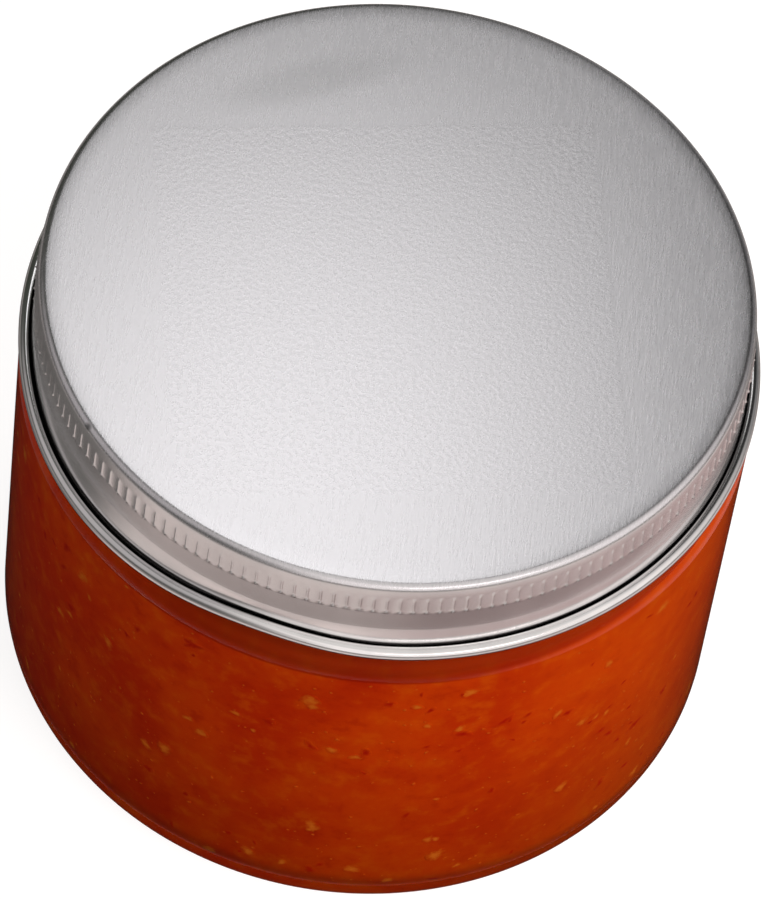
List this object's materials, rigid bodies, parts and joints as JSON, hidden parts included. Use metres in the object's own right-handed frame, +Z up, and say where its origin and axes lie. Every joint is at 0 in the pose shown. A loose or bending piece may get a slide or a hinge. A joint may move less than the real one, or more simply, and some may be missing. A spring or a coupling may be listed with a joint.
{
  "type": "jar of chili sauce",
  "caption": "Low straight-sided clear jar filled with orange-red chili sauce, shut with a ribbed aluminium screw lid.",
  "frame": {"origin": "centre of the jar's flat base, on the surface that it stands on", "axes": "+Z up along the jar's axis; X and Y lie in the base and are alike, because the jar is round"},
  "size_m": [0.0922, 0.0922, 0.0733],
  "materials": {
    "glass": "clear, smooth",
    "sauce": "wet, opaque orange-red",
    "aluminium": "brushed on top, satin on the skirt"
  },
  "bodies": {
    "root": {"jar": "glass", "sauce": "sauce", "lid": "aluminium"}
  },
  "joints": []
}
